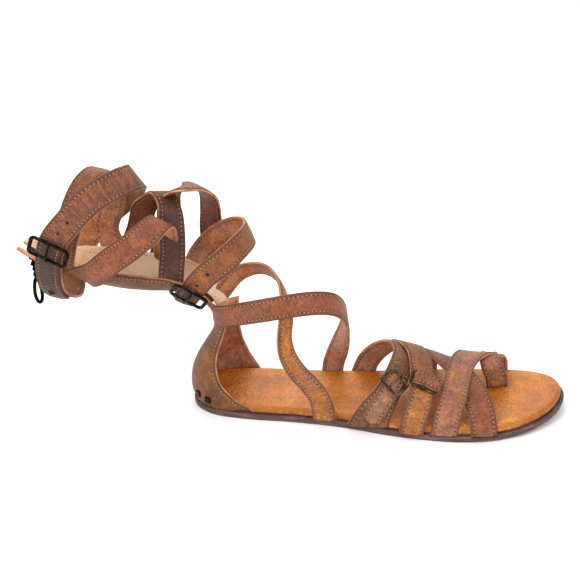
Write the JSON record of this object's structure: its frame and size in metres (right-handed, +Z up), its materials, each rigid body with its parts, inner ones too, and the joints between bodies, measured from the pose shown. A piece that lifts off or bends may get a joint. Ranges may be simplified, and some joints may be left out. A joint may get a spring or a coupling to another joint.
{
  "type": "gladiator sandal",
  "caption": "Right calf-height strappy leather sandal with buckled cuffs and a back zip, flat sole, toe loop; its empty shaft has fallen back.",
  "frame": {"origin": "on the floor, under the middle of the heel", "axes": "+X to the toe, +Y to the inner (medial) side of the foot, +Z up"},
  "size_m": [0.3678, 0.0901, 0.1685],
  "materials": {
    "outsole": "matte, dark mauve brown",
    "insole": "pebbled, satin, orange tan",
    "leather_brown": "worn, satin",
    "leather_mauve": "worn and creased, satin",
    "zip_tape": "woven, matte",
    "black_metal": "satin black",
    "dark_metal": "blackened",
    "aged_brass": "antiqued, dark"
  },
  "bodies": {
    "sandal": {"outsole": "outsole", "insole": "insole", "upper": "leather_brown", "toe_straps": "leather_brown", "lower_cuff": "leather_mauve", "upper_cuff": "leather_mauve", "instep_straps": "leather_mauve", "zip": "zip_tape", "zip_slider": "black_metal", "lower_cuff_buckle_frame": "dark_metal", "lower_cuff_buckle_prong": "dark_metal", "upper_cuff_buckle_frame": "dark_metal", "upper_cuff_buckle_prong": "dark_metal", "rear_instep_buckle_frame": "aged_brass", "rear_instep_buckle_prong": "aged_brass", "front_instep_buckle_frame": "aged_brass", "front_instep_buckle_prong": "aged_brass", "heel_stud_rear": "black_metal", "heel_stud_front": "black_metal"},
    "pull": {"zip_pull": "black_metal"}
  },
  "joints": [
    {"name": "zip_pull_swing", "type": "hinge", "parent": "sandal", "child": "pull", "pos_m": [-0.13999, 0, 0.09539], "axis": [0, 1, 0], "range_deg": [-20, 60]}
  ]
}
